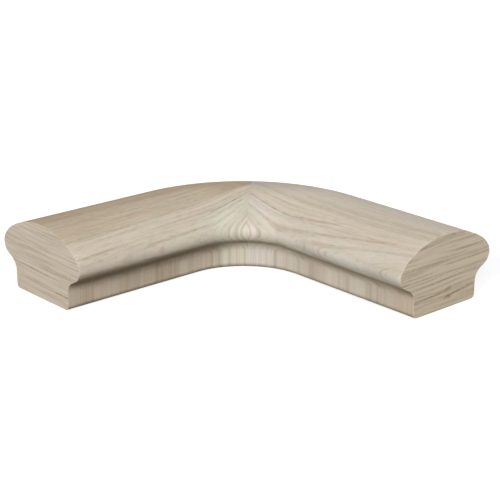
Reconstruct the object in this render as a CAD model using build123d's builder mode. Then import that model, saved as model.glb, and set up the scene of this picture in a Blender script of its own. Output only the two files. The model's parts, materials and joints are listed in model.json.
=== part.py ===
"""Handrail quarter turn: a level wooden bend for a moulded stair handrail.

Two halves of one moulding meet on a mitre through the middle of the bend.
Each half is a straight leg and an eighth of a turn, so its grain runs along its leg.
Two hidden dowels cross the mitre and keep the glued halves in line.

Axes: +Z up. One leg points along +X and the other along -Y.
Origin: on the flat underside, where the centreline of the rail crosses the mitre.
Sizes are in millimetres and degrees.
"""
import os
from math import atan2, cos, degrees, radians, sin, tan

from build123d import *

# Rail moulding, the same on both sides of its centreline
rail_width = 70.0             # across the two noses
rail_height = 41.6            # from the underside to the middle of the crown
base_corner_radius = 2.5      # rounded edge between the underside and a side
nose_overhang = 11.0          # how far a nose stands out past the side below it
nose_drop = 17.4              # from the crown down to the widest level
nose_radius = 7.0             # rounded lip that the fingers close around
slope_angle = 27.0            # rise of the slope under the nose
cove_radius = 8.0             # hollow between the side and the slope, for the fingertips
shoulder_radius = 20.0        # blend between the nose and the crown
shoulder_start = 34.0         # direction from level at which the nose becomes the shoulder

# Bend
bend_radius = 62.0            # centreline of the turn
bend_angle = 90.0             # the whole turn, shared by the two halves
leg_length = 89.0             # straight run beyond the turn, the same on both legs

# Dowels across the mitre
dowel_diameter = 8.0
dowel_length = 40.0
dowel_chamfer = 1.0
dowel_height = 17.0           # dowel axes above the underside
dowel_side_clearance = 0.1    # glue film around a dowel
dowel_end_clearance = 1.0     # room for glue at the bottom of each hole

# Worked out from the sizes above
base_width = rail_width - 2 * nose_overhang
dowel_spacing = base_width / 2
right_angle = 90.0
half_bend_angle = bend_angle / 2


def draw_half_outline():
    """Draw half of the moulding as one chain of tangent lines and arcs, from the underside to the crown."""
    side_x = base_width / 2
    nose_centre = Vector(rail_width / 2 - nose_radius, rail_height - nose_drop)

    # The slope leaves the nose where the nose is as steep as the slope, and would meet the side in a corner.
    slope = radians(slope_angle)
    slope_top = nose_centre + Vector(sin(slope), -cos(slope)) * nose_radius
    corner_height = slope_top.Y - (slope_top.X - side_x) * tan(slope)
    cove_turn = right_angle - slope_angle
    cove_reach = cove_radius * tan(radians(cove_turn) / 2)

    # The shoulder touches the nose from inside. The crown touches the shoulder and is level in the middle.
    shoulder_offset = Vector(shoulder_radius - nose_radius, 0).rotate(Axis.Z, shoulder_start)
    shoulder_centre = nose_centre - shoulder_offset
    shoulder_drop = rail_height - shoulder_centre.Y
    crown_radius = (shoulder_drop**2 + shoulder_centre.X**2 - shoulder_radius**2) / (
        2 * (shoulder_drop - shoulder_radius)
    )
    shoulder_end = degrees(atan2(crown_radius - shoulder_drop, shoulder_centre.X))

    underside = Line((0, 0), (side_x - base_corner_radius, 0))
    corner = JernArc(underside @ 1, underside % 1, base_corner_radius, right_angle)
    side = Line(corner @ 1, (side_x, corner_height - cove_reach))
    cove = JernArc(side @ 1, side % 1, cove_radius, -cove_turn)
    slope_line = Line(cove @ 1, slope_top)
    nose = JernArc(slope_line @ 1, slope_line % 1, nose_radius, cove_turn + shoulder_start)
    shoulder = JernArc(nose @ 1, nose % 1, shoulder_radius, shoulder_end - shoulder_start)
    JernArc(shoulder @ 1, shoulder % 1, crown_radius, right_angle - shoulder_end)


# The mitre stands upright across the middle of the bend, square to the centreline there.
# Its local X points to the outside of the bend and its local Y up.
mitre = Plane(
    origin=(0, 0, 0),
    x_dir=(-sin(radians(half_bend_angle)), cos(radians(half_bend_angle)), 0),
    z_dir=(cos(radians(half_bend_angle)), sin(radians(half_bend_angle)), 0),
)

# Right half: half of the bend from the mitre, then the leg along +X, with a blind hole for each dowel
with BuildPart() as right_half:
    with BuildLine():
        half_bend = JernArc((0, 0), mitre.z_dir, bend_radius, -half_bend_angle)
        Line(half_bend @ 1, half_bend @ 1 + (half_bend % 1) * leg_length)
    with BuildSketch(mitre):
        with BuildLine():
            draw_half_outline()
            mirror(about=Plane.YZ)
        make_face()
    sweep()
    with BuildSketch(mitre):
        with Locations((0, dowel_height)):
            with GridLocations(dowel_spacing, 0, 2, 1):
                Circle(dowel_diameter / 2 + dowel_side_clearance)
    extrude(amount=dowel_length / 2 + dowel_end_clearance, mode=Mode.SUBTRACT)

# Left half: the mirror image of the right half across the mitre, with its leg along -Y
with BuildPart() as left_half:
    add(right_half.part.mirror(mitre))


def make_dowel(side):
    """Make one dowel centred on the mitre, on the outside (side = 1) or inside (side = -1) of the bend."""
    with BuildPart() as dowel:
        with BuildSketch(mitre.offset(-dowel_length / 2)):
            with Locations((side * dowel_spacing / 2, dowel_height)):
                Circle(dowel_diameter / 2)
        extrude(amount=dowel_length)
        chamfer(dowel.edges().filter_by(GeomType.CIRCLE), dowel_chamfer)
    return dowel.part


right_half.part.label = "right_half"
left_half.part.label = "left_half"
outer_dowel = make_dowel(1)
outer_dowel.label = "outer_dowel"
inner_dowel = make_dowel(-1)
inner_dowel.label = "inner_dowel"

os.makedirs("parts", exist_ok=True)
for piece in (right_half.part, left_half.part, outer_dowel, inner_dowel):
    export_step(piece, f"parts/{piece.label}.step")
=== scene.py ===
"""Looks of the handrail quarter turn: two pale ash halves, the dowels across their mitre and a plain studio.

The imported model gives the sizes. Each half is the rail's moulding carried along an eighth of a turn and a
straight leg. Its grain is laid out in plan, straight along its own leg, so it meets the grain of the other
half in chevrons at the mitre. Lengths are in metres, apart from those of the wood's figure, in millimetres.
"""
import json
import logging
import math
from dataclasses import dataclass, field
from enum import Enum
from typing import Any

import bpy
import numpy as np
from mathutils import Matrix, Vector
from mathutils.geometry import tessellate_polygon


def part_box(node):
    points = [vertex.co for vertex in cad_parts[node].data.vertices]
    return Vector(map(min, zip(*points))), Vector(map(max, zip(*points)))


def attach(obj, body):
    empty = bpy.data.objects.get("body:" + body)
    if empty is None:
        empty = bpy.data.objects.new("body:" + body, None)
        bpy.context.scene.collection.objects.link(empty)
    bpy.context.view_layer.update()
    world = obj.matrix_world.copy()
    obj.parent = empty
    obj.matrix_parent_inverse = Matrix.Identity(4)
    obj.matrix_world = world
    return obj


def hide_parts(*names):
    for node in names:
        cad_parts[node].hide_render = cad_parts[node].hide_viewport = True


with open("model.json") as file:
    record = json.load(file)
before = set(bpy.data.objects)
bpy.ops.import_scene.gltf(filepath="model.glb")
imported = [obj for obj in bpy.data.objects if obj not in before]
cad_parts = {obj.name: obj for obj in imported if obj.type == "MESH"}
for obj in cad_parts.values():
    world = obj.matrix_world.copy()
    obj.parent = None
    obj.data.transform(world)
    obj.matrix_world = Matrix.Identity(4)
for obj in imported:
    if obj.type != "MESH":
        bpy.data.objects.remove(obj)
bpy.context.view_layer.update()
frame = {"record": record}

LOG = logging.getLogger("handrail_quarter_turn")
PER_METRE = 1000.0       # millimetres
MIDDLE = 0.5             # mean of a noise that goes from 0 to 1
MATT_SPECULAR = 0.12     # wood without a finish hardly shines
RIGHT_ANGLE = 90.0
EIGHTH_TURN = math.pi / 4
WHITE = (1.0, 1.0, 1.0, 1.0)
BODY = "root"

Colour = tuple[float, float, float]


class Side(Enum):
    """The two halves of the turn, named by where their leg stands in the reference view."""

    RIGHT = "right"
    LEFT = "left"


# Mesh building


@dataclass(frozen=True)
class Stretch:
    """One stretch of an outline: straight where its turn is zero, and otherwise an arc."""

    length: float
    turn: float = 0.0


def arc(radius: float, turn_degrees: float) -> Stretch:
    """Give an arc of that radius, which turns left where its turn is positive."""
    turn = math.radians(turn_degrees)
    return Stretch(radius * abs(turn), turn)


def trace(
    start: np.ndarray, stretches: list[Stretch], spacing: float, step_turn: float
) -> tuple[np.ndarray, np.ndarray]:
    """Follow tangent stretches from a start point, setting out along +X.

    Along an arc the heading grows evenly from h0 to h, and the point moves by length / turn times
    (sin h - sin h0, cos h0 - cos h). Along a straight stretch it moves by length times (cos h0, sin h0).

    Args:
        start: First point, two numbers.
        stretches: The stretches in order, each tangent to the one before.
        spacing: Longest step along an arc, in metres.
        step_turn: Largest turn in one step along an arc, in radians.

    Returns:
        The points and the unit normals on their right-hand side, each as an array of two columns.
    """
    points = [np.array([start], float)]
    headings = [np.zeros(1)]
    for stretch in stretches:
        first = headings[-1][-1]
        steps = 1
        if stretch.turn:
            steps = math.ceil(max(stretch.length / spacing, abs(stretch.turn) / step_turn))
        share = np.arange(1, steps + 1) / steps
        heading = first + stretch.turn * share
        if stretch.turn:
            move = np.stack([np.sin(heading) - math.sin(first), math.cos(first) - np.cos(heading)], axis=1)
            move *= stretch.length / stretch.turn
        else:
            move = share[:, None] * stretch.length * np.array([math.cos(first), math.sin(first)])
        points.append(points[-1][-1] + move)
        headings.append(heading)
    heading = np.concatenate(headings)
    normals = np.stack([np.sin(heading), -np.cos(heading)], axis=1)
    return np.concatenate(points), normals


class Shell:
    """A closed surface put together from grids and flat caps, which share their rims."""

    def __init__(self) -> None:
        """Start an empty surface."""
        self.points: list[np.ndarray] = []
        self.faces: list[list[int]] = []
        self.smooth: list[bool] = []
        self.count = 0

    def add_points(self, points: np.ndarray) -> np.ndarray:
        """Add points and give their indices.

        Args:
            points: An array whose last axis holds X, Y and Z.

        Returns:
            Their indices, in the shape of the other axes.
        """
        flat = points.reshape(-1, 3)
        indices = np.arange(self.count, self.count + len(flat)).reshape(points.shape[:-1])
        self.points.append(flat)
        self.count += len(flat)
        return indices

    def add_faces(self, faces: np.ndarray, smooth: bool) -> None:
        """Add faces that all have the same number of corners, one in each row."""
        self.faces.extend(faces.tolist())
        self.smooth.extend([smooth] * len(faces))

    def add_tube(self, rings: np.ndarray) -> None:
        """Skin closed rings with quads.

        Corner (j, k) joins (j, k + 1), (j + 1, k + 1) and (j + 1, k), where k wraps round the ring. The
        faces look outwards where the rings run anticlockwise, seen from the last ring towards the first.

        Args:
            rings: Point indices, one ring in each row.
        """
        along = np.roll(rings, -1, axis=1)
        quads = np.stack([rings[:-1], along[:-1], along[1:], rings[1:]], axis=-1)
        self.add_faces(quads.reshape(-1, 4), smooth=True)

    def add_cap(self, rims: list[np.ndarray], flat: list[np.ndarray], front: bool) -> None:
        """Close a flat opening with triangles between its outer rim and the rims of its holes.

        Args:
            rims: Point indices of the outer rim, then of each hole.
            flat: The same points in the plane of the opening, two columns each.
            front: Whether the cap faces the reader of that plane.
        """
        loops = [[(x, y, 0.0) for x, y in ring.tolist()] for ring in flat]
        triangles = np.array(tessellate_polygon(loops))
        plane = np.concatenate(flat)
        first, second, third = (plane[triangles[:, corner]] for corner in range(3))
        area = np.cross(second - first, third - first)
        turned = (area > 0) != front
        triangles[turned] = triangles[turned][:, ::-1]
        self.add_faces(np.concatenate(rims)[triangles], smooth=False)

    def make(self, name: str, mirrored: bool = False) -> bpy.types.Object:
        """Put the surface into an object at the origin.

        Args:
            name: Name of the object and of its mesh.
            mirrored: Whether to mirror it across the mitre, which takes (x, y, z) to (-y, -x, z).

        Returns:
            The new object, linked to the scene.
        """
        points = np.concatenate(self.points)
        faces = self.faces
        if mirrored:
            points = points[:, [1, 0, 2]] * (-1.0, -1.0, 1.0)
            faces = [face[::-1] for face in faces]
        mesh = bpy.data.meshes.new(name)
        mesh.from_pydata(points.tolist(), [], faces)
        mesh.polygons.foreach_set("use_smooth", self.smooth)
        mesh.validate()
        mesh.update()
        piece = bpy.data.objects.new(name, mesh)
        bpy.context.scene.collection.objects.link(piece)
        return piece


# Shader building


class Number:
    """A number that varies over a surface: a socket whose operators add Math nodes."""

    def __init__(self, sheet: "NodeSheet", socket: bpy.types.NodeSocket) -> None:
        """Wrap a socket of that sheet."""
        self.sheet = sheet
        self.socket = socket

    def math(self, operation: str, *others: "Amount") -> "Number":
        """Apply a Math node to this number and up to two more."""
        names = ("Value", "Value_001", "Value_002")
        node = self.sheet.node("ShaderNodeMath", {"operation": operation}, dict(zip(names, (self, *others))))
        return Number(self.sheet, node.outputs[0])

    def __add__(self, other: "Amount") -> "Number":
        """Add."""
        return self.math("ADD", other)

    __radd__ = __add__

    def __sub__(self, other: "Amount") -> "Number":
        """Subtract."""
        return self.math("SUBTRACT", other)

    def __rsub__(self, other: float) -> "Number":
        """Subtract this from a plain number."""
        return self.math("MULTIPLY_ADD", -1.0, other)

    def __mul__(self, other: "Amount") -> "Number":
        """Multiply."""
        return self.math("MULTIPLY", other)

    __rmul__ = __mul__

    def __truediv__(self, other: float) -> "Number":
        """Divide by a plain number."""
        return self.math("MULTIPLY", 1.0 / other)

    def __neg__(self) -> "Number":
        """Change the sign."""
        return self.math("MULTIPLY", -1.0)

    def at_least(self, low: "Amount") -> "Number":
        """Raise to a lowest value."""
        return self.math("MAXIMUM", low)

    def at_most(self, high: "Amount") -> "Number":
        """Cut to a highest value."""
        return self.math("MINIMUM", high)

    def root(self) -> "Number":
        """Give the square root of this."""
        return self.math("SQRT")

    def exponential(self) -> "Number":
        """Give e to the power of this."""
        return self.math("EXPONENT")

    def rise(self, low: float, high: float) -> "Number":
        """Go smoothly from 0 at low to 1 at high."""
        node = self.sheet.node(
            "ShaderNodeMapRange",
            {"interpolation_type": "SMOOTHSTEP"},
            {"Value": self, "From Min": low, "From Max": high},
        )
        return Number(self.sheet, node.outputs["Result"])

    def fall(self, low: float, high: float) -> "Number":
        """Go smoothly from 1 at low to 0 at high."""
        return 1.0 - self.rise(low, high)


Amount = Number | float


class NodeSheet:
    """The nodes of a material or of the world."""

    def __init__(self, owner: bpy.types.Material | bpy.types.World) -> None:
        """Start with no nodes."""
        owner.use_nodes = True
        self.tree = owner.node_tree
        self.tree.nodes.clear()

    def node(
        self, kind: str, settings: dict[str, Any] | None = None, inputs: dict[str, Any] | None = None
    ) -> bpy.types.Node:
        """Add one node.

        Args:
            kind: The node's type.
            settings: Its properties, which are set before its sockets.
            inputs: What goes into its sockets, by identifier: a Number, a socket, or a plain value.

        Returns:
            The new node.
        """
        node = self.tree.nodes.new(kind)
        for name, value in (settings or {}).items():
            setattr(node, name, value)
        sockets = {socket.identifier: socket for socket in node.inputs}
        for name, value in (inputs or {}).items():
            source = value.socket if isinstance(value, Number) else value
            if isinstance(source, bpy.types.NodeSocket):
                self.tree.links.new(source, sockets[name])
            else:
                sockets[name].default_value = source
        return node


class ShaderSheet(NodeSheet):
    """The nodes of one material of the fitting."""

    def __init__(self, name: str) -> None:
        """Start a material with no nodes."""
        self.material = bpy.data.materials.new(name)
        super().__init__(self.material)

    def position(self) -> tuple[Number, Number, Number]:
        """Give X, Y and Z on the piece, in millimetres."""
        place = self.node("ShaderNodeTexCoord").outputs["Object"]
        split = self.node("ShaderNodeSeparateXYZ", None, {"Vector": place})
        x, y, z = (Number(self, socket) * PER_METRE for socket in split.outputs)
        return x, y, z

    def noise(self, place: tuple[Amount, Amount, Amount], detail: float, roughness: float = 0.5) -> Number:
        """Give noise from about 0 to 1 whose grains are about one unit across.

        Args:
            place: Coordinates, each divided by the size of a grain along it.
            detail: Number of finer octaves.
            roughness: How much each finer octave keeps of the one before.

        Returns:
            The noise.
        """
        spot = self.node("ShaderNodeCombineXYZ", None, dict(zip("XYZ", place)))
        inputs = {"Vector": spot.outputs[0], "Scale": 1.0, "Detail": detail, "Roughness": roughness}
        return Number(self, self.node("ShaderNodeTexNoise", None, inputs).outputs[0])

    def mix(self, share: Amount, first: Any, second: Any, blend: str = "MIX") -> bpy.types.NodeSocket:
        """Blend two colours.

        Args:
            share: How much of the second there is, from 0 to 1.
            first: The first colour, as three numbers or a socket.
            second: The second colour, as three numbers or a socket.
            blend: The way of blending, as the Mix node names it.

        Returns:
            The socket of the blended colour.
        """
        colours = {
            name: value if isinstance(value, bpy.types.NodeSocket) else (*value, 1.0)
            for name, value in (("A_Color", first), ("B_Color", second))
        }
        settings = {"data_type": "RGBA", "blend_type": blend}
        node = self.node("ShaderNodeMix", settings, {"Factor_Float": share, **colours})
        return next(socket for socket in node.outputs if socket.identifier == "Result_Color")

    def complete(self, colour: Any, roughness: Amount, relief: Number, depth: float) -> bpy.types.Material:
        """Lead colour, roughness and relief to the surface.

        Args:
            colour: Socket of the base colour.
            roughness: Roughness of the surface.
            relief: Height of the surface, about 0 to 1.
            depth: Real height of one unit of relief, in metres.

        Returns:
            The finished material.
        """
        bump = self.node("ShaderNodeBump", None, {"Strength": 1.0, "Distance": depth, "Height": relief})
        inputs = {
            "Base Color": colour,
            "Roughness": roughness,
            "Specular IOR Level": MATT_SPECULAR,
            "Normal": bump.outputs[0],
        }
        surface = self.node("ShaderNodeBsdfPrincipled", None, inputs)
        self.node("ShaderNodeOutputMaterial", None, {"Surface": surface.outputs[0]})
        return self.material


# Wood


@dataclass(frozen=True)
class Span:
    """A stretch of a measure with soft ends. A missing end leaves the stretch open on that side."""

    rise: tuple[float, float] | None = None
    fall: tuple[float, float] | None = None

    def over(self, measure: Number) -> Number:
        """Give 1 inside the stretch and 0 outside it, by smooth steps.

        Args:
            measure: The number that the stretch is part of.

        Returns:
            The first step times the second, where there are two.
        """
        if self.rise and self.fall:
            return measure.rise(*self.rise) * measure.fall(*self.fall)
        return measure.rise(*self.rise) if self.rise else measure.fall(*self.fall)


def rising(low: float, high: float) -> Span:
    """Give a stretch that opens between two values and doesn't close."""
    return Span(rise=(low, high))


def falling(low: float, high: float) -> Span:
    """Give a stretch that closes between two values and has no start."""
    return Span(fall=(low, high))


@dataclass(frozen=True)
class Place:
    """Where a point of a half lies, in millimetres.

    `along` goes along the leg from the origin, and `inward` from the leg's centreline towards the inside of
    the turn. `outward` is the distance outside the rail's centreline, also round the bend. `drift` is
    `inward` as the grain has it, which leans and bows a little away from the leg. `height` is above the
    underside.
    """

    along: Number
    inward: Number
    outward: Number
    drift: Number
    height: Number


@dataclass(frozen=True)
class Patch:
    """A soft-edged region of a half with the share of a tone that lies on it. Spans are in millimetres."""

    share: float
    along: Span | None = None
    inward: Span | None = None
    outward: Span | None = None
    drift: Span | None = None
    height: Span | None = None

    def lay(self, place: Place) -> Number:
        """Give the share times the spans over the measures that bound the patch."""
        bounds = (
            (self.along, place.along),
            (self.inward, place.inward),
            (self.outward, place.outward),
            (self.drift, place.drift),
            (self.height, place.height),
        )
        return math.prod((span.over(measure) for span, measure in bounds if span), start=self.share)


Patches = tuple[Patch, ...]


def lay_all(patches: Patches, place: Place) -> Number:
    """Give the sum of several patches."""
    first, *others = (patch.lay(place) for patch in patches)
    return sum(others, first)


@dataclass(frozen=True)
class GrainLine:
    """A dark growth line, laid out in millimetres on a flat face of the wood.

    It lies at `place` across the face where it is `apex` along it. It leans by `lean` for each millimetre
    along, and past the apex it bows back by `bow` times the square of the distance. It comes up within
    `swell` of its start and goes within `fade` of its end. With neither given it runs off the face.
    """

    place: float
    apex: float = 0.0
    start: float = -60.0
    end: float = 140.0
    strength: float = field(kw_only=True)
    width: float = 0.55
    lean: float = 0.0
    bow: float = 0.0
    swell: float = 8.0
    fade: float = 10.0

    def draw(self, along: Number, across: Number, broken: Number) -> Number:
        """Give the line's darkness: strength times exp(-(distance / width)²), faded at both ends.

        Args:
            along: Distance along the face.
            across: Distance across the face.
            broken: Unevenness along the line, from 0 to 1.

        Returns:
            Its darkness, 0 away from the line.
        """
        beyond = along - self.apex
        distance = across - self.place - beyond * self.lean
        if self.bow:
            past = beyond.at_least(0.0)
            distance = distance + past * past * self.bow
        distance = distance / self.width
        darkness = (-(distance * distance)).exponential() * self.strength
        shown = along.rise(self.start, self.start + self.swell) * along.fall(self.end - self.fade, self.end)
        return darkness * shown * broken


RIGHT_FACE = (
    GrainLine(26.5, 28.0, start=4.0, end=80.0, strength=0.46, width=0.8, bow=0.002, swell=60.0, fade=8.0),
    GrainLine(26.5, -10.0, start=-5.0, end=60.0, strength=0.26, width=0.75, swell=4.0, fade=34.0),
    GrainLine(33.7, 14.5, start=8.0, end=121.0, strength=0.34, width=0.65, bow=0.00105, fade=6.0),
    GrainLine(34.9, 58.0, start=52.0, strength=0.24, width=0.65, lean=-0.05, bow=0.00095),
    GrainLine(35.2, 105.0, start=100.0, strength=0.14, width=0.6, lean=-0.055, swell=20.0),
    GrainLine(13.6, 60.0, start=-6.0, strength=0.28, width=0.75, bow=0.00055),
    GrainLine(14.9, 70.0, start=8.0, strength=0.22, width=0.8, bow=0.0006),
    GrainLine(8.2, 80.0, start=25.0, strength=0.18, width=1.2, bow=0.001, swell=30.0),
    GrainLine(9.6, 80.0, start=35.0, end=125.0, strength=0.14, width=0.8, bow=0.0008, swell=20.0),
    GrainLine(19.3, 5.0, start=0.0, end=60.0, strength=0.16, width=0.7, lean=0.015, fade=25.0),
    GrainLine(23.6, 80.0, start=76.0, end=112.0, strength=0.12, width=0.8, lean=0.01),
    GrainLine(29.2, 11.0, start=2.0, end=44.0, strength=0.13, width=0.6, lean=-0.01, fade=20.0),
    GrainLine(37.6, 20.0, start=12.0, end=50.0, strength=0.18, width=0.5, lean=-0.075),
    GrainLine(39.9, 22.0, start=14.0, end=50.0, strength=0.22, width=0.5, lean=-0.12),
    GrainLine(41.7, 22.0, start=14.0, end=50.0, strength=0.52, width=0.36),
)

LEFT_FACE = (
    GrainLine(16.2, start=-8.0, strength=0.26, width=0.8, lean=0.0525),
    GrainLine(18.1, start=-8.0, end=90.0, strength=0.12, width=0.55, lean=0.05, fade=40.0),
    GrainLine(21.7, start=-2.0, end=64.0, strength=0.26, width=0.6, lean=0.04, fade=28.0),
    GrainLine(24.2, 15.0, start=5.0, end=44.0, strength=0.18, width=0.5, lean=0.03),
    GrainLine(26.0, 17.0, start=10.0, end=52.0, strength=0.42, width=0.48, lean=0.005, fade=20.0),
    GrainLine(24.8, 36.0, start=33.0, end=96.0, strength=0.26, width=0.6, lean=0.062, swell=6.0, fade=26.0),
    GrainLine(27.6, 25.0, start=16.0, end=44.0, strength=0.16, width=0.4, lean=0.01),
    GrainLine(28.7, 25.0, start=10.0, end=60.0, strength=0.2, width=0.42, lean=0.02, fade=20.0),
    GrainLine(30.2, 55.0, start=12.0, end=96.0, strength=0.14, width=0.48, lean=0.022, fade=30.0),
    GrainLine(31.3, 100.0, start=60.0, strength=0.13, width=0.5, lean=0.04, swell=20.0),
    GrainLine(32.4, 30.0, start=10.0, end=130.0, strength=0.2, width=0.52, lean=0.012, fade=60.0),
    GrainLine(34.0, 100.0, start=70.0, strength=0.14, width=0.45, lean=0.02, swell=20.0),
    GrainLine(35.1, 24.0, start=14.0, end=60.0, strength=0.13, width=0.46, lean=0.01, fade=30.0),
    GrainLine(37.3, 22.0, start=12.0, end=50.0, strength=0.17, width=0.5, lean=-0.05),
    GrainLine(38.8, 26.0, start=14.0, end=50.0, strength=0.17, width=0.5),
    GrainLine(40.8, 25.0, start=14.0, end=50.0, strength=0.55, width=0.36),
    GrainLine(8.9, 75.0, start=52.0, strength=0.2, width=1.1, lean=0.004, swell=24.0),
    GrainLine(13.6, 82.0, start=72.0, end=100.0, strength=0.16, width=0.55, lean=0.01),
    GrainLine(4.6, 40.0, start=-4.0, end=80.0, strength=0.16, width=0.8, lean=0.04, fade=30.0),
    GrainLine(-2.0, 60.0, start=20.0, strength=0.16, width=1.2, lean=0.03, swell=30.0),
)

RIGHT_WALL = (
    GrainLine(107.0, end=19.0, strength=0.34, width=0.8),
    GrainLine(111.5, end=19.0, strength=0.05, width=2.6),
    GrainLine(66.5, end=19.0, strength=0.04, width=1.5),
    GrainLine(62.0, end=19.0, strength=0.06, width=0.9),
    GrainLine(58.2, end=19.0, strength=0.1, width=0.45),
    GrainLine(52.0, end=19.0, strength=0.05, width=4.0),
)

LEFT_WALL = (
    GrainLine(74.0, end=19.0, strength=0.28, width=1.7),
    GrainLine(70.0, end=19.0, strength=0.11, width=3.0),
    GrainLine(61.3, end=19.0, strength=0.26, width=0.5),
    GrainLine(63.6, end=19.0, strength=0.1, width=1.6),
    GrainLine(98.0, end=19.0, strength=0.09, width=3.5),
    GrainLine(104.6, end=19.0, strength=0.1, width=0.6),
    GrainLine(120.0, end=19.0, strength=0.08, width=2.5),
    GrainLine(48.8, end=19.0, strength=0.12, width=0.6),
)

RIGHT_END = (
    GrainLine(38.0, -20.0, end=24.0, strength=0.36, width=1.1, lean=0.085, fade=16.0),
    GrainLine(20.2, strength=0.3, width=0.6, lean=0.006),
    GrainLine(22.0, end=-4.0, strength=0.24, width=0.5, lean=0.005),
    GrainLine(16.6, strength=0.36, width=0.62, lean=0.03, bow=0.0014),
    GrainLine(8.4, -20.0, end=6.0, strength=0.5, width=0.7, lean=0.085, fade=3.0),
    GrainLine(11.5, 2.0, start=0.0, strength=0.38, width=0.6, lean=0.04, bow=0.0018, swell=3.0),
    GrainLine(6.2, 1.0, start=-3.0, end=60.0, strength=0.6, width=0.7, lean=0.19, bow=0.0024, fade=42.0),
    GrainLine(5.9, 1.7, start=-2.0, end=6.0, strength=0.5, width=1.0, swell=3.0, fade=3.0),
    GrainLine(2.8, 5.0, start=-12.0, strength=0.28, width=0.6),
    GrainLine(24.6, 10.0, start=-4.0, end=60.0, strength=0.28, width=0.7, lean=0.01, fade=30.0),
    GrainLine(27.4, -10.0, end=4.0, strength=0.26, width=0.55, lean=-0.02),
    GrainLine(31.8, start=-10.0, strength=0.22, width=0.55, lean=-0.06),
)

LEFT_END = (
    GrainLine(14.2, -25.0, strength=0.34, width=0.6, lean=0.026),
    GrainLine(6.7, -25.0, end=24.0, strength=0.36, width=0.6, lean=0.052, fade=16.0),
    GrainLine(19.3, end=34.0, strength=0.24, width=0.5, lean=0.01),
    GrainLine(22.0, start=-16.0, end=30.0, strength=0.34, width=0.6, fade=12.0),
    GrainLine(24.4, 28.0, start=10.0, end=60.0, strength=0.3, width=0.65, fade=26.0),
    GrainLine(28.6, start=-40.0, end=10.0, strength=0.18, width=0.5, lean=0.01),
    GrainLine(31.4, start=-46.0, end=2.0, strength=0.2, width=0.5, lean=0.015),
    GrainLine(36.6, -5.0, start=-30.0, end=24.0, strength=0.26, width=0.55, lean=-0.008),
    GrainLine(17.6, strength=0.18, width=0.45, lean=0.012),
)


@dataclass(frozen=True)
class Streaks:
    """Noise drawn out along the grain. One streak is so many millimetres long and wide.

    With an edge, the noise is cut into marks: 1 within that span of its values and 0 outside.
    """

    length: float
    width: float
    seed: float
    detail: float = 1.0
    edge: Span | None = None

    def lay(self, sheet: ShaderSheet, along: Number, across: Number, shift: float) -> Number:
        """Give the streaks, from about 0 to 1.

        Args:
            sheet: The nodes of the material.
            along: Distance along the grain.
            across: Distance across the grain.
            shift: Added to the seed, so that two pieces differ.

        Returns:
            The streaks.
        """
        noise = sheet.noise((along / self.length, across / self.width, self.seed + shift), self.detail)
        return self.edge.over(noise) if self.edge else noise


# Regions that patches share: the crown, the upright side and its inner face, the cove above it and the nose
CROWN = rising(27.0, 37.0)
SIDE_WALL = Span(rise=(0.2, 0.8), fall=(13.0, 19.0))
INNER_FACE = rising(16.0, 18.0)
COVE = Span(rise=(12.0, 15.0), fall=(19.0, 23.0))
NOSE = rising(22.5, 28.5)


@dataclass(frozen=True)
class AshTone:
    """How the wood of one half is toned.

    `nose` and `end` are the colours of the wood there. `foot` is how much browner the end gets towards its
    foot. `rings`, `end_rings` and `mottle` are strengths. `fading` is how far the lines seen from above fade
    on the inner side. The patches add brown, grey, the nose's lighter colour or a dark tone, and `calm`
    takes growth rings away. Besides the wood's own tone, the brown and dark patches paint shade along the
    foot and in the groove under the nose, a brown one paints warm shade on the left leg's inner wall, and
    brown, grey and dark ones paint shade on the crown's outer side. The nose's lighter colour is partly a
    painted sheen, and a patch with less brown paints light on the left leg's nose. `lean` and `bow` carry
    the fine grain away from the leg's line.
    """

    seed: float
    nose: Colour
    end: Colour
    foot: float
    rings: float
    end_rings: float
    mottle: float
    fading: float
    brown: Patches
    grey: Patches
    paler_and_sheen: Patches
    dark: Patches
    calm: Patches = ()
    lean: float = 0.0
    bow: float = 0.0


# Painted shade along the rounded foot, which faces the floor: browner over the lowest few millimetres and a
# dark line just above the underside.
FOOT_SHADE_BROWN = (Patch(0.30, height=falling(0.4, 2.6)),)
FOOT_SHADE_DARK = (Patch(0.26, height=Span(rise=(0.1, 0.8), fall=(1.8, 3.3))),)
BOTH_GREY = (
    Patch(0.15, height=rising(25.0, 29.0), inward=rising(30.0, 38.0)),
    Patch(0.09, height=SIDE_WALL, inward=INNER_FACE, along=falling(36.0, 60.0)),
)

RIGHT_TONE = AshTone(
    seed=3.7,
    nose=(0.622, 0.576, 0.508),
    end=(0.675, 0.585, 0.455),
    foot=0.14,
    rings=0.19,
    end_rings=0.38,
    mottle=0.30,
    fading=0.60,
    brown=FOOT_SHADE_BROWN + (
        Patch(-0.15, inward=falling(-10.0, 12.0)),
        # Partly browner wood, partly painted shade round the outside of the bend, which turns away from the
        # lamps.
        Patch(0.26, inward=falling(-10.0, 12.0), along=falling(6.0, 44.0)),
        Patch(0.20, height=rising(25.0, 28.0), inward=rising(21.0, 27.0), along=rising(16.0, 50.0)),
        # Painted shade: browner in the groove under the nose, along the leg.
        Patch(0.50, height=Span(rise=(11.0, 14.0), fall=(15.5, 18.5)), along=rising(30.0, 60.0)),
        Patch(0.52, height=SIDE_WALL, inward=INNER_FACE, along=rising(116.0, 129.0)),
    ),
    # Partly greyer wood, partly painted shade on the crown's outer side round the bend.
    grey=BOTH_GREY + (Patch(0.40, height=CROWN, outward=rising(-14.0, 8.0), along=falling(0.0, 44.0)),),
    paler_and_sheen=(Patch(0.90, inward=NOSE),),
    dark=FOOT_SHADE_DARK,
    calm=(Patch(0.80, inward=rising(26.0, 32.0), along=rising(45.0, 85.0)),),
    bow=0.000038,
)
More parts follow.
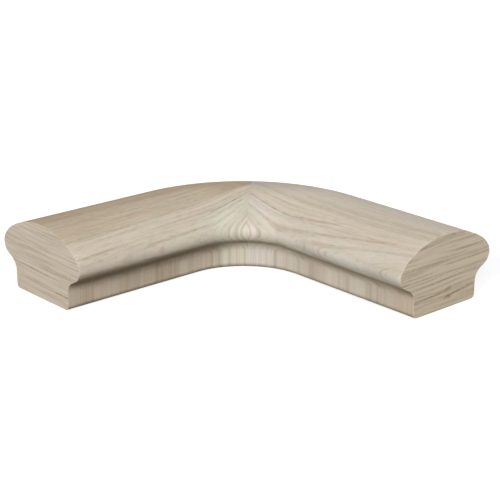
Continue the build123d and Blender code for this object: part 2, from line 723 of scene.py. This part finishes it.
LEFT_TONE = AshTone(
    seed=41.3,
    nose=(0.598, 0.582, 0.492),
    end=(0.632, 0.558, 0.460),
    foot=0.12,
    rings=0.25,
    end_rings=0.34,
    mottle=0.42,
    fading=0.30,
    brown=FOOT_SHADE_BROWN + (
        Patch(0.32, height=CROWN, drift=falling(13.6, 19.2)),
        Patch(0.46, height=CROWN, drift=falling(13.6, 19.2), along=falling(6.0, 36.0)),
        # Partly browner wood, partly painted shade on the crown's outer side, which turns away from the
        # lamps.
        Patch(0.38, height=CROWN, inward=falling(-2.0, 6.0)),
        Patch(0.34, height=CROWN, drift=falling(16.0, 22.0), along=falling(-4.0, 8.0)),
        # Painted light on the nose: less brown over its upper part.
        Patch(-0.16, height=rising(20.0, 23.0), inward=rising(32.2, 33.6)),
        # Painted warm shade: browner on the inner face of the upright side.
        Patch(0.11, height=SIDE_WALL, inward=INNER_FACE),
        Patch(0.24, height=SIDE_WALL, inward=INNER_FACE, along=rising(50.0, 70.0)),
        # Painted shade: browner in the cove under the nose, along the leg.
        Patch(0.64, height=COVE, along=rising(26.0, 56.0)),
        Patch(0.07, along=rising(90.0, 122.0)),
    ),
    grey=BOTH_GREY + (
        # Partly greyer wood, partly painted shade on the crown's outer side.
        Patch(0.32, height=CROWN, outward=rising(-4.0, 8.0)),
        Patch(0.20, height=CROWN, outward=rising(10.0, 20.0)),
    ),
    paler_and_sheen=(Patch(0.70, inward=NOSE, along=falling(34.0, 60.0)),),
    dark=FOOT_SHADE_DARK + (
        # Partly darker wood, partly painted shade on the crown's outer side and near the mitre.
        Patch(0.46, height=CROWN, outward=Span(rise=(6.0, 18.0), fall=(21.0, 34.0))),
        Patch(0.30, height=CROWN, outward=rising(0.0, 10.0), along=falling(-15.0, -1.0)),
        # Painted shade: darker in the groove under the nose, along the leg.
        Patch(0.24, height=Span(rise=(13.5, 15.5), fall=(17.5, 20.0)), along=rising(30.0, 60.0)),
    ),
    lean=0.0525,
)


@dataclass(frozen=True)
class PaleAsh:
    """Planed and sanded ash of one half, without a finish.

    On the sides, the crown and the underside most of the figure is constant in height, as it is where a
    moulding is cut out of a plank whose growth lines stand upright. The end of the leg has its own figure,
    which is nearly level. Lengths are in millimetres, and a share says how far a noise changes the tone.
    """

    side: Side
    leg_offset: float
    leg_end: float
    bend_radius: float
    face_lines: tuple[GrainLine, ...]
    wall_lines: tuple[GrainLine, ...]
    end_lines: tuple[GrainLine, ...]
    tone: AshTone
    pale: Colour = (0.632, 0.558, 0.460)
    # Painted warm bounce light: a lighter, yellower colour laid over the cove under the nose.
    cove: Colour = (0.680, 0.615, 0.460)
    # The brown and grey colours below paint shade as well as the wood's own tone.
    brown: Colour = (0.430, 0.310, 0.192)
    greyed_and_shaded: Colour = (0.290, 0.262, 0.225)
    line: Colour = (0.260, 0.190, 0.115)
    greenish: Colour = (0.985, 1.010, 0.990)
    pinkish: Colour = (1.014, 0.993, 1.002)
    roughness: float = 0.60
    fibre_roughness: float = 0.10
    relief: float = 0.00002
    fibre_relief: float = 0.6
    cove_painted_bounce_share: float = 0.8
    fibre_share: float = 0.40
    band_share: float = 0.16
    pore_share: float = 0.22
    wall_streak_share: float = 0.56
    wall_band_share: float = 0.18
    end_fibre_share: float = 0.34
    gap_depth: float = 0.6
    bow_start: float = 14.5
    bow_inward: float = 8.0
    bow_width: float = 25.0
    end_wave: float = 1.6
    end_tilt: float = 0.02
    end_margin: tuple[float, float] = (0.22, 0.08)
    end_foot: Span = falling(4.0, 36.0)
    fibres: Streaks = Streaks(26.0, 0.42, seed=0.0, detail=2.0)
    rings: Streaks = Streaks(60.0, 1.30, seed=9.0, edge=falling(0.30, 0.54))
    bands: Streaks = Streaks(90.0, 5.50, seed=21.0, edge=rising(0.30, 0.70))
    gaps: Streaks = Streaks(4.5, 2.00, seed=30.0, detail=2.0, edge=rising(0.20, 0.62))
    blush: Streaks = Streaks(14.0, 6.00, seed=50.0, edge=rising(0.35, 0.65))
    mottle: Streaks = Streaks(5.0, 1.10, seed=60.0)
    pores: Streaks = Streaks(4.0, 0.45, seed=70.0, edge=rising(0.52, 0.74))
    wall_streaks: Streaks = Streaks(24.0, 0.80, seed=80.0)
    wall_bands: Streaks = Streaks(80.0, 4.00, seed=90.0)
    end_sway: Streaks = Streaks(22.0, 16.0, seed=0.0, detail=0.0)
    end_fibres: Streaks = Streaks(11.0, 0.40, seed=5.0, detail=2.0)
    end_rings: Streaks = Streaks(34.0, 0.95, seed=11.0, edge=falling(0.34, 0.56))
    end_bands: Streaks = Streaks(45.0, 6.00, seed=17.0, edge=rising(0.30, 0.70))
    end_gaps: Streaks = Streaks(2.4, 1.60, seed=23.0, detail=2.0, edge=rising(0.20, 0.60))

    def make(self) -> bpy.types.Material:
        """Build the material.

        Returns:
            The wood of this half.
        """
        sheet = ShaderSheet(f"pale_ash_{self.side.value}")
        x, y, z = sheet.position()
        if self.side is Side.RIGHT:
            along, inward, end_across = x, self.leg_offset - y, y - self.leg_offset
        else:
            along, inward, end_across = -y, x + self.leg_offset, -x - self.leg_offset
        face, face_line, face_fine = self._face_figure(sheet, along, inward, z)
        end, end_line, end_fine = self._end_figure(sheet, end_across, z)
        on_end = along.rise(*(self.leg_end - margin for margin in self.end_margin))
        ground = sheet.mix(on_end, face, end)
        line = face_line + (end_line - face_line) * on_end
        fine = face_fine + (end_fine - face_fine) * on_end
        colour = sheet.mix(line, ground, self.line)
        roughness = (fine - MIDDLE) * self.fibre_roughness + self.roughness
        return sheet.complete(colour, roughness, fine * self.fibre_relief - line, self.relief)

    def _place(self, along: Number, inward: Number, height: Number) -> Place:
        """Work out where a point lies from its distances along and inside the leg's centreline.

        The drift is inward - lean * along + bow * max(along - bow start, 0)² * (inward - bow inward), with
        the last factor kept between zero and the bow's width. With the bend's centre c = r sin 45° along
        the leg, outward is sqrt(min(along - c, 0)² + (r - inward)²) - r.

        Args:
            along: Distance along the leg.
            inward: Distance from the leg's centreline to the inside of the turn.
            height: Height above the underside.

        Returns:
            The measures of the point.
        """
        drift = inward
        if self.tone.lean:
            drift = drift - along * self.tone.lean
        if self.tone.bow:
            past = (along - self.bow_start).at_least(0.0)
            reach = (inward - self.bow_inward).at_least(0.0).at_most(self.bow_width)
            drift = drift + past * past * reach * self.tone.bow
        before = (along - self.bend_radius * math.sin(EIGHTH_TURN)).at_most(0.0)
        from_centre = self.bend_radius - inward
        outward = (before * before + from_centre * from_centre).root() - self.bend_radius
        return Place(along, inward, outward, drift, height)

    def _uneven(self, gaps: Number) -> Number:
        """Give how strongly a line shows where it is broken by gaps, up to 1."""
        return gaps * self.gap_depth + (1.0 - self.gap_depth)

    def _face_figure(
        self, sheet: ShaderSheet, along: Number, inward: Number, height: Number
    ) -> tuple[Any, Number, Number]:
        """Lay out the figure seen from above.

        Args:
            sheet: The nodes of the material.
            along: Distance along the leg.
            inward: Distance from the leg's centreline to the inside of the turn.
            height: Height above the underside.

        Returns:
            The colour between the lines, how dark the lines are, and the fine fibres from 0 to 1.
        """
        tone = self.tone
        place = self._place(along, inward, height)
        layers = (self.fibres, self.rings, self.bands, self.gaps, self.blush, self.mottle, self.pores)
        fibres, rings, bands, gaps, blush, mottle, pores = (
            layer.lay(sheet, along, place.drift, tone.seed) for layer in layers
        )
        wall_streaks = self.wall_streaks.lay(sheet, height, along, tone.seed)
        wall_bands = self.wall_bands.lay(sheet, height, along, tone.seed)
        uneven = self._uneven(gaps)
        on_wall = SIDE_WALL.over(height)
        on_inner_wall = on_wall * INNER_FACE.over(inward)

        line = rings * uneven * tone.rings
        if tone.calm:
            line = line * (1.0 - lay_all(tone.calm, place))
        # The dark patches include painted shade along the foot, in the groove and on the crown's outer side.
        line = line + pores * self.pore_share + lay_all(tone.dark, place)
        shown = uneven * (1.0 - on_inner_wall * tone.fading)
        for grain_line in self.face_lines:
            line = line + grain_line.draw(along, inward, shown)
        for grain_line in self.wall_lines:
            line = line + grain_line.draw(height, along, on_inner_wall)

        browned = bands * self.band_share + (fibres - MIDDLE) * self.fibre_share
        browned = browned + (mottle - MIDDLE) * tone.mottle
        upright = (wall_streaks - MIDDLE) * self.wall_streak_share
        upright = upright + (wall_bands - MIDDLE) * self.wall_band_share
        # The brown patches add the wood's own tone and painted shade along the foot, in the groove, on the
        # left leg's inner wall and on the crown's outer side.
        browned = browned + on_wall * upright + lay_all(tone.brown, place)
        # Paler wood on the nose, partly a painted sheen where the lamps catch it.
        ground = sheet.mix(lay_all(tone.paler_and_sheen, place), self.pale, tone.nose)
        # Painted bounce light: the cove under the nose turns lighter and yellower.
        ground = sheet.mix(COVE.over(height) * self.cove_painted_bounce_share, ground, self.cove)
        # Greyer wood and painted shade on the crown's outer side.
        ground = sheet.mix(lay_all(tone.grey, place), ground, self.greyed_and_shaded)
        ground = sheet.mix(browned, ground, self.brown)
        tint = sheet.mix(blush, self.greenish, self.pinkish)
        return sheet.mix(1.0, ground, tint, "MULTIPLY"), line, fibres

    def _end_figure(self, sheet: ShaderSheet, across: Number, height: Number) -> tuple[Any, Number, Number]:
        """Lay out the figure on the end of the leg.

        Args:
            sheet: The nodes of the material.
            across: Distance from the leg's centreline to the outside of the turn.
            height: Height above the underside.

        Returns:
            The colour between the lines, how dark the lines are, and the fine fibres from 0 to 1.
        """
        tone = self.tone
        sway = self.end_sway.lay(sheet, across, height, tone.seed)
        level = height + sway * self.end_wave - across * self.end_tilt
        layers = (self.end_fibres, self.end_rings, self.end_bands, self.end_gaps)
        fibres, rings, bands, gaps = (layer.lay(sheet, across, level, tone.seed) for layer in layers)
        uneven = self._uneven(gaps)
        line = rings * uneven * tone.end_rings
        for grain_line in self.end_lines:
            line = line + grain_line.draw(across, height, uneven)
        browned = bands * self.band_share + (fibres - MIDDLE) * self.end_fibre_share
        browned = browned + self.end_foot.over(height) * tone.foot
        return sheet.mix(browned, tone.end, self.brown), line, fibres


@dataclass(frozen=True)
class TurnedBeech:
    """Fluted dowel of plain beech: short dark flecks along its length and a faint ring figure.

    Each size is the length and the width of a streak, in millimetres.
    """

    heart: Colour = (0.620, 0.480, 0.340)
    fleck: Colour = (0.430, 0.300, 0.190)
    roughness: float = 0.60
    fibre_roughness: float = 0.12
    relief: float = 0.00002
    fibre_size: tuple[float, float] = (9.0, 0.35)
    fleck_size: tuple[float, float] = (1.8, 0.22)
    band_size: tuple[float, float] = (40.0, 2.2)
    fibre_detail: float = 2.0
    fibre_coarseness: float = 0.6
    fibre_share: float = 0.15
    fleck_share: float = 0.55
    band_share: float = 0.25
    fleck_edge: Span = rising(0.58, 0.72)
    band_edge: Span = rising(0.35, 0.65)

    def make(self) -> bpy.types.Material:
        """Build the material.

        Returns:
            The wood of the dowels.
        """
        sheet = ShaderSheet("turned_beech")
        x, y, z = sheet.position()
        along = (x + y) * math.sin(EIGHTH_TURN)
        across = (y - x) * math.sin(EIGHTH_TURN)

        def streaks(size: tuple[float, float], detail: float = 1.0, coarseness: float = 0.5) -> Number:
            """Give noise drawn out along the dowel."""
            length, width = size
            return sheet.noise((along / length, across / width, z / width), detail, coarseness)

        fibres = streaks(self.fibre_size, self.fibre_detail, self.fibre_coarseness)
        flecks = streaks(self.fleck_size)
        bands = streaks(self.band_size)
        darkness = self.fleck_edge.over(flecks) * self.fleck_share
        darkness = darkness + self.band_edge.over(bands) * self.band_share + fibres * self.fibre_share
        colour = sheet.mix(darkness, self.heart, self.fleck)
        roughness = (fibres - MIDDLE) * self.fibre_roughness + self.roughness
        return sheet.complete(colour, roughness, fibres - darkness, self.relief)


# Pieces


@dataclass(frozen=True)
class Moulding:
    """Cross-section of the rail, the same on both sides of its centreline. Angles are in degrees."""

    width: float
    height: float
    base_corner_radius: float = 0.0025
    nose_overhang: float = 0.011
    nose_drop: float = 0.0174
    nose_radius: float = 0.007
    slope_angle: float = 27.0
    cove_radius: float = 0.008
    shoulder_radius: float = 0.020
    shoulder_start: float = 34.0
    point_spacing: float = 0.0008
    point_turn: float = 5.0

    def half_outline(self) -> tuple[np.ndarray, np.ndarray]:
        """Trace the outer half from the middle of the underside to the middle of the crown.

        The slope touches the nose where the nose is as steep as the slope. The shoulder touches the nose
        from inside, and the crown's radius r makes it touch the shoulder and end level in the middle:
        (r - s)² = (r - d)² + x², with s the shoulder's radius and d and x its centre's depth and offset.

        Returns:
            The points and the normals that point outwards.
        """
        side_x = self.width / 2 - self.nose_overhang
        nose = np.array([self.width / 2 - self.nose_radius, self.height - self.nose_drop])
        slope = math.radians(self.slope_angle)
        slope_top = nose + self.nose_radius * np.array([math.sin(slope), -math.cos(slope)])
        corner_height = slope_top[1] - (slope_top[0] - side_x) * math.tan(slope)
        cove_turn = RIGHT_ANGLE - self.slope_angle
        cove_reach = self.cove_radius * math.tan(math.radians(cove_turn) / 2)
        slope_length = (slope_top[0] - side_x) / math.cos(slope) - cove_reach

        start = math.radians(self.shoulder_start)
        offset = (self.shoulder_radius - self.nose_radius) * np.array([math.cos(start), math.sin(start)])
        shoulder = nose - offset
        depth = self.height - shoulder[1]
        excess = depth**2 + shoulder[0] ** 2 - self.shoulder_radius**2
        crown_radius = excess / (2 * (depth - self.shoulder_radius))
        shoulder_end = math.degrees(math.atan2(crown_radius - depth, shoulder[0]))
        stretches = [
            Stretch(side_x - self.base_corner_radius),
            arc(self.base_corner_radius, RIGHT_ANGLE),
            Stretch(corner_height - cove_reach - self.base_corner_radius),
            arc(self.cove_radius, -cove_turn),
            Stretch(slope_length),
            arc(self.nose_radius, cove_turn + self.shoulder_start),
            arc(self.shoulder_radius, shoulder_end - self.shoulder_start),
            arc(crown_radius, RIGHT_ANGLE - shoulder_end),
        ]
        return trace(np.zeros(2), stretches, self.point_spacing, math.radians(self.point_turn))

    def outline(self) -> tuple[np.ndarray, np.ndarray]:
        """Trace the whole section once round, anticlockwise, with outwards to the right.

        Returns:
            The points and the normals that point outwards.
        """
        points, normals = self.half_outline()
        flip = np.array([-1.0, 1.0])
        around = np.concatenate([points, points[-2:0:-1] * flip])
        return around, np.concatenate([normals, normals[-2:0:-1] * flip])


@dataclass(frozen=True)
class RailLine:
    """Centreline of the right half in plan, from the mitre: an eighth of a turn, then the leg."""

    bend_radius: float
    leg_length: float
    half_turn: float = EIGHTH_TURN

    @property
    def bend_length(self) -> float:
        """Length of the curved stretch."""
        return self.bend_radius * self.half_turn

    @property
    def length(self) -> float:
        """Length from the mitre to the end of the leg."""
        return self.bend_length + self.leg_length

    def follow(self, distance: np.ndarray) -> tuple[np.ndarray, np.ndarray, np.ndarray]:
        """Give the line at distances from the mitre.

        The heading falls evenly from half_turn to zero over the bend. The line there is the bend's centre
        plus its radius times the outward direction, and after the bend it goes straight on along +X.

        Args:
            distance: Distances along the line.

        Returns:
            The points, the directions to the outside of the turn, and the headings, as rows of X, Y and Z.
        """
        heading = self.half_turn - np.minimum(distance, self.bend_length) / self.bend_radius
        nothing = np.zeros_like(heading)
        outward = np.stack([-np.sin(heading), np.cos(heading), nothing], axis=1)
        forward = np.stack([np.cos(heading), np.sin(heading), nothing], axis=1)
        centre = self.bend_radius * np.array([math.sin(self.half_turn), -math.cos(self.half_turn), 0.0])
        straight = np.maximum(distance - self.bend_length, 0.0)[:, None]
        return centre + self.bend_radius * outward + straight * forward, outward, forward


@dataclass(frozen=True)
class DowelFit:
    """Where the dowels cross the mitre, and how their blind holes fit them."""

    diameter: float = 0.008
    length: float = 0.040
    chamfer: float = 0.001
    height: float = 0.017
    spacing: float = 0.024
    side_clearance: float = 0.0001
    end_clearance: float = 0.001

    @property
    def hole_radius(self) -> float:
        """Radius of a hole."""
        return self.diameter / 2 + self.side_clearance

    @property
    def hole_depth(self) -> float:
        """Depth of a hole from the mitre."""
        return self.length / 2 + self.end_clearance


@dataclass
class RailHalf:
    """One half of the turn, from its face on the mitre to the end of its leg."""

    side: Side
    moulding: Moulding
    line: RailLine
    fit: DowelFit
    end_arris: float = 0.00014
    mitre_arris: float = 0.00008
    arris_steps: int = 3
    bend_rows: int = 32
    leg_rows: int = 16
    hole_points: int = 40
    piece: bpy.types.Object | None = field(default=None, init=False)

    @property
    def node(self) -> str:
        """Name of the CAD node that this half stands for."""
        return f"{self.side.value}_half"

    def _stations(self) -> tuple[np.ndarray, np.ndarray]:
        """Space the sections along the line.

        An arris of radius r is a quarter circle: at an angle t the section lies r (1 - sin t) before the
        end and is drawn in by r (1 - cos t).

        Returns:
            The distance of each section from the mitre, and how far it is drawn in.
        """
        quarter = np.linspace(0.0, math.pi / 2, self.arris_steps + 1)
        into, inset = 1.0 - np.sin(quarter), 1.0 - np.cos(quarter)
        bend = np.linspace(0.0, self.line.bend_length, self.bend_rows + 1)
        bend[0] = self.mitre_arris
        leg = np.linspace(self.line.bend_length, self.line.length - self.end_arris, self.leg_rows + 1)
        distance = [
            self.mitre_arris * into[:0:-1],
            bend[:-1],
            leg,
            self.line.length - self.end_arris * into[1:],
        ]
        drawn_in = [
            self.mitre_arris * inset[:0:-1],
            np.zeros(len(bend) - 1 + len(leg)),
            self.end_arris * inset[1:],
        ]
        return np.concatenate(distance), np.concatenate(drawn_in)

    def _section(self, distance: np.ndarray, across: np.ndarray, up: np.ndarray) -> np.ndarray:
        """Stand points of the section plane on the line.

        Args:
            distance: Distance from the mitre, one for each row.
            across: Distance outside the line, in rows and columns.
            up: Height, in rows and columns.

        Returns:
            The points as an array of rows, columns and X, Y, Z.
        """
        place, outward, _ = self.line.follow(distance)
        points = place[:, None, :] + across[..., None] * outward[:, None, :]
        points[..., 2] += up
        return points

    def build(self) -> bpy.types.Object:
        """Build the half: its swept surface, its two ends and the two blind dowel holes.

        Returns:
            The half's object, with its place in its mesh.
        """
        shell = Shell()
        outline, normals = self.moulding.outline()
        distance, drawn_in = self._stations()
        across = outline[:, 0] - drawn_in[:, None] * normals[:, 0]
        up = outline[:, 1] - drawn_in[:, None] * normals[:, 1]
        rings = shell.add_points(self._section(distance, across, up))
        shell.add_tube(rings)
        shell.add_cap([rings[-1]], [np.stack([across[-1], up[-1]], axis=1)], front=True)

        rims, flats = [rings[0]], [np.stack([across[0], up[0]], axis=1)]
        for sign in (1.0, -1.0):
            rim, flat = self._add_hole(shell, sign * self.fit.spacing / 2)
            rims.append(rim)
            flats.append(flat)
        shell.add_cap(rims, flats, front=False)
        self.piece = shell.make(f"rail_{self.node}", mirrored=self.side is Side.LEFT)
        return self.piece

    def _add_hole(self, shell: Shell, offset: float) -> tuple[np.ndarray, np.ndarray]:
        """Sink a blind hole from the mitre, square to it, as a circle carried straight inwards.

        Args:
            shell: The half's surface.
            offset: Distance of the hole's axis outside the centreline.

        Returns:
            The indices of the hole's rim, and the rim in the plane of the mitre.
        """
        angle = np.linspace(0.0, 2 * math.pi, self.hole_points, endpoint=False)
        circle = np.stack([np.cos(angle), np.sin(angle)], axis=1)
        flat = circle * self.fit.hole_radius + (offset, self.fit.height)
        mouth = self._section(np.zeros(1), flat[None, :, 0], flat[None, :, 1])
        forward = self.line.follow(np.zeros(1))[2]
        rings = shell.add_points(np.concatenate([mouth, mouth + forward * self.fit.hole_depth]))
        shell.add_tube(rings[:, ::-1])
        shell.add_cap([rings[1]], [flat], front=False)
        return rings[0], flat

    def dress(self, wood: PaleAsh) -> None:
        """Give the half its wood and its place in the model.

        Args:
            wood: The finish of this half.
        """
        self.piece.data.materials.append(wood.make())
        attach(self.piece, BODY)
        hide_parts(self.node)


@dataclass
class Dowel:
    """A fluted dowel with chamfered ends, which lets the glue spread along it."""

    name: str
    offset: float
    line: RailLine
    fit: DowelFit
    flutes: int = 18
    flute_depth: float = 0.00022
    points_per_flute: int = 6
    rows: int = 24
    piece: bpy.types.Object | None = field(default=None, init=False)

    def build(self) -> bpy.types.Object:
        """Build the dowel.

        Round the axis the radius is R - f (1 - |cos(n a / 2)|) with n flutes of depth f. Along it the
        radius shrinks evenly over each chamfer.

        Returns:
            The dowel's object, with its place in its mesh.
        """
        shell = Shell()
        radius, half = self.fit.diameter / 2, self.fit.length / 2
        angle = np.linspace(0.0, 2 * math.pi, self.flutes * self.points_per_flute, endpoint=False)
        body = np.linspace(-half + self.fit.chamfer, half - self.fit.chamfer, self.rows)
        along = np.concatenate([[-half], body, [half]])
        shrink = np.concatenate([[self.fit.chamfer], np.zeros(self.rows), [self.fit.chamfer]])
        ridge = np.abs(np.cos(self.flutes * angle / 2))
        spokes = radius - shrink[:, None] - self.flute_depth * (1.0 - ridge)
        across = self.offset + spokes * np.cos(angle)
        up = self.fit.height + spokes * np.sin(angle)
        start, outward, forward = self.line.follow(np.zeros(1))
        points = start + across[..., None] * outward + along[:, None, None] * forward
        points[..., 2] += up
        rings = shell.add_points(points)
        shell.add_tube(rings)
        shell.add_cap([rings[-1]], [np.stack([across[-1], up[-1]], axis=1)], front=True)
        shell.add_cap([rings[0]], [np.stack([across[0], up[0]], axis=1)], front=False)
        self.piece = shell.make(f"fluted_{self.name}")
        return self.piece

    def dress(self, wood: bpy.types.Material) -> None:
        """Give the dowel its wood and its place in the model.

        Args:
            wood: The material that both dowels share.
        """
        self.piece.data.materials.append(wood)
        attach(self.piece, BODY)
        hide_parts(self.name)


@dataclass(frozen=True)
class QuarterTurn:
    """The whole fitting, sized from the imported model."""

    moulding: Moulding
    line: RailLine
    fit: DowelFit
    leg_offset: float
    leg_end: float

    @classmethod
    def from_frame(cls) -> "QuarterTurn":
        """Read the driving sizes from the frame.

        The mount on the right end gives the leg's centreline and its end. The box of the right half gives
        the rail's width and height. A centreline radius r puts the leg r (1 - cos 45°) off the origin, and
        the bend takes r sin 45° of the leg's reach.

        Returns:
            The fitting, ready to build.
        """
        mounts = {mount["name"]: mount["pos_m"] for mount in frame["record"]["mounts"]}
        leg_end, leg_offset, _ = mounts["right_end"]
        _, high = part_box("right_half")
        bend_radius = leg_offset / (1.0 - math.cos(EIGHTH_TURN))
        moulding = Moulding(width=2 * (high.y - leg_offset), height=high.z)
        line = RailLine(bend_radius, leg_end - bend_radius * math.sin(EIGHTH_TURN))
        return cls(moulding, line, DowelFit(), leg_offset, leg_end)

    def build(self) -> None:
        """Build and dress both halves and both dowels."""
        plan = [size * PER_METRE for size in (self.leg_offset, self.leg_end, self.line.bend_radius)]
        for side, *figure in (
            (Side.RIGHT, RIGHT_FACE, RIGHT_WALL, RIGHT_END, RIGHT_TONE),
            (Side.LEFT, LEFT_FACE, LEFT_WALL, LEFT_END, LEFT_TONE),
        ):
            half = RailHalf(side, self.moulding, self.line, self.fit)
            half.build()
            half.dress(PaleAsh(side, *plan, *figure))
            report(half.piece)
        beech = TurnedBeech().make()
        for name, sign in (("outer_dowel", 1.0), ("inner_dowel", -1.0)):
            dowel = Dowel(name, sign * self.fit.spacing / 2, self.line, self.fit)
            dowel.build()
            dowel.dress(beech)
            report(dowel.piece)


# Studio


def towards(azimuth: float, elevation: float) -> Vector:
    """Give the direction of an azimuth, counted from +X to +Y, and an elevation, both in degrees."""
    around, above = math.radians(azimuth), math.radians(elevation)
    return Vector((math.cos(around) * math.cos(above), math.sin(around) * math.cos(above), math.sin(above)))


@dataclass(frozen=True)
class SoftLamp:
    """A far lamp with a wide face. It shines from an azimuth, counted from +X to +Y, and an elevation."""

    name: str
    azimuth: float
    elevation: float
    strength: float
    spread: float

    def place(self) -> None:
        """Add the lamp to the scene."""
        lamp = bpy.data.lights.new(self.name, "SUN")
        lamp.energy = self.strength
        lamp.angle = math.radians(self.spread)
        holder = bpy.data.objects.new(self.name, lamp)
        holder.rotation_mode = "QUATERNION"
        holder.rotation_quaternion = towards(self.azimuth, self.elevation).to_track_quat("Z", "Y")
        bpy.context.scene.collection.objects.link(holder)


@dataclass(frozen=True)
class Studio:
    """Plain pale floor, an even white surround and soft lamps."""

    lamps: tuple[SoftLamp, ...]
    surround: float = 0.04
    floor_size: float = 12.0
    floor_drop: float = 0.0002
    floor_glow: float = 0.62
    floor_seen: Colour = (0.62, 0.62, 0.62)
    floor_bounce: Colour = (0.07, 0.07, 0.07)

    def build(self) -> None:
        """Build the surround, the floor and the lamps."""
        bpy.context.scene.view_settings.view_transform = "Standard"
        self._light_surround()
        self._lay_floor()
        for lamp in self.lamps:
            lamp.place()

    @staticmethod
    def _choose(sheet: NodeSheet, unseen: bpy.types.Node, seen: bpy.types.Node, output: str) -> None:
        """Lead one shader to what the camera sees and the other to the rest.

        Args:
            sheet: The world's or the floor's nodes.
            unseen: The shader for every other ray.
            seen: The shader for what the camera sees, straight on, in a gloss or through glass.
            output: Type of the output node.
        """
        rays = sheet.node("ShaderNodeLightPath").outputs
        shown = Number(sheet, rays["Is Camera Ray"])
        for name in ("Is Glossy Ray", "Is Transmission Ray"):
            shown = shown.at_least(Number(sheet, rays[name]))
        shaders = {"Fac": shown, "Shader": unseen.outputs[0], "Shader_001": seen.outputs[0]}
        choice = sheet.node("ShaderNodeMixShader", None, shaders)
        sheet.node(output, None, {"Surface": choice.outputs[0]})

    def _light_surround(self) -> None:
        """Make the world white where it is seen, and an even soft light elsewhere."""
        world = bpy.data.worlds.new("surround")
        sheet = NodeSheet(world)
        white, light = (
            sheet.node("ShaderNodeBackground", None, {"Color": WHITE, "Strength": strength})
            for strength in (1.0, self.surround)
        )
        self._choose(sheet, light, white, "ShaderNodeOutputWorld")
        bpy.context.scene.world = world

    def _lay_floor(self) -> None:
        """Lay the floor just under the rail."""
        half = self.floor_size / 2
        corners = ((-half, -half), (half, -half), (half, half), (-half, half))
        mesh = bpy.data.meshes.new("floor")
        mesh.from_pydata([(x, y, -self.floor_drop) for x, y in corners], [], [(0, 1, 2, 3)])
        mesh.materials.append(self._paint_floor())
        floor = bpy.data.objects.new("floor", mesh)
        bpy.context.scene.collection.objects.link(floor)

    def _paint_floor(self) -> bpy.types.Material:
        """Make the floor's paint. Where it is seen it glows enough to be white, and keeps a soft shadow.

        Returns:
            The floor's material.
        """
        material = bpy.data.materials.new("pale_floor")
        sheet = NodeSheet(material)
        bounce, matt = (
            sheet.node("ShaderNodeBsdfDiffuse", None, {"Color": (*colour, 1.0)})
            for colour in (self.floor_bounce, self.floor_seen)
        )
        glow = sheet.node("ShaderNodeEmission", None, {"Strength": self.floor_glow})
        both = {"Shader": matt.outputs[0], "Shader_001": glow.outputs[0]}
        bright = sheet.node("ShaderNodeAddShader", None, both)
        self._choose(sheet, bounce, bright, "ShaderNodeOutputMaterial")
        return material


@dataclass(frozen=True)
class Viewpoint:
    """The camera of the reference view. Angles are in degrees; azimuth 0 looks along +Y."""

    azimuth: float = 48.175
    elevation: float = 19.099
    roll: float = 0.221
    distance: float = 0.77546
    aim: tuple[float, float, float] = (0.049594, -0.044768, 0.025163)
    lens: float = 104.522
    sensor: float = 36.0

    def set_up(self) -> None:
        """Add the camera and make it the scene's."""
        back = towards(self.azimuth - RIGHT_ANGLE, self.elevation)
        level_right = towards(self.azimuth, 0.0)
        level_up = back.cross(level_right)
        tilt = math.radians(self.roll)
        right = level_right * math.cos(tilt) + level_up * math.sin(tilt)
        up = level_up * math.cos(tilt) - level_right * math.sin(tilt)
        lens = bpy.data.cameras.new("reference_view")
        lens.lens = self.lens
        lens.sensor_width = self.sensor
        camera = bpy.data.objects.new("reference_view", lens)
        turn = Matrix((right, up, back)).transposed().to_4x4()
        camera.matrix_world = Matrix.Translation(Vector(self.aim) + back * self.distance) @ turn
        bpy.context.scene.collection.objects.link(camera)
        bpy.context.scene.camera = camera


LAMPS = (
    SoftLamp("key", azimuth=-70.0, elevation=24.0, strength=1.90, spread=14.0),
    SoftLamp("front", azimuth=-43.0, elevation=29.0, strength=1.50, spread=26.0),
    SoftLamp("side", azimuth=-10.0, elevation=38.0, strength=0.74, spread=26.0),
    SoftLamp("back", azimuth=135.0, elevation=36.0, strength=0.42, spread=40.0),
    SoftLamp("back_right", azimuth=90.0, elevation=10.0, strength=0.50, spread=40.0),
    SoftLamp("back_left", azimuth=180.0, elevation=10.0, strength=0.50, spread=40.0),
)


def report(piece: bpy.types.Object) -> None:
    """Log a finished piece with its number of faces."""
    LOG.info("%s: %d faces", piece.name, len(piece.data.polygons))


def main() -> None:
    """Build the camera, the studio and the fitting, in that order."""
    logging.basicConfig(level=logging.INFO, format="%(message)s")
    Viewpoint().set_up()
    Studio(LAMPS).build()
    QuarterTurn.from_frame().build()


if __name__ == "__main__":
    main()
